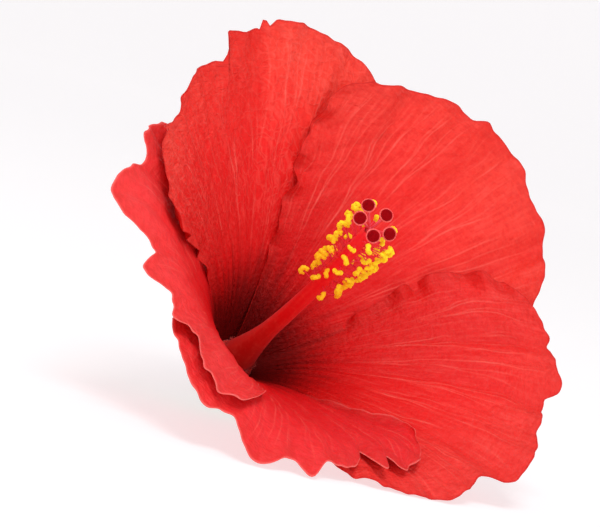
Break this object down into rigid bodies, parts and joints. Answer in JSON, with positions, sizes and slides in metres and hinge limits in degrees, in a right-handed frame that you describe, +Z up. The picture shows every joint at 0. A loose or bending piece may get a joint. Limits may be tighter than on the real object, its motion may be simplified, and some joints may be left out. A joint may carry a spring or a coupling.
{
  "type": "hibiscus flower",
  "caption": "Picked red hibiscus flower: ruffled overlapping petals round a long staminal column, with calyx and cut stalk, lying on its petal rims and stalk.",
  "frame": {"origin": "middle of the lying flower's bounding box, on the surface it rests on", "axes": "+Z up from the surface; the flower's mouth faces -Y, +X and up, and its stalk points to +Y"},
  "size_m": [0.1168, 0.1116, 0.0958],
  "materials": {
    "petal": "satin petal tissue with fine paler veins, darker in the throat",
    "column": "smooth satin red, with yellow pollen-dusted anthers",
    "pistil": "dark crimson velvet pads with a pale pink rim",
    "calyx": "soft satin green with fine ribs",
    "stalk": "satin green stalk with a swollen joint"
  },
  "bodies": {
    "root": {"petal_a": "petal", "petal_b": "petal", "petal_c": "petal", "petal_d": "petal", "petal_e": "petal", "staminal_column": "column", "pistil": "pistil", "calyx": "calyx", "epicalyx": "calyx", "stalk": "stalk"}
  },
  "joints": []
}
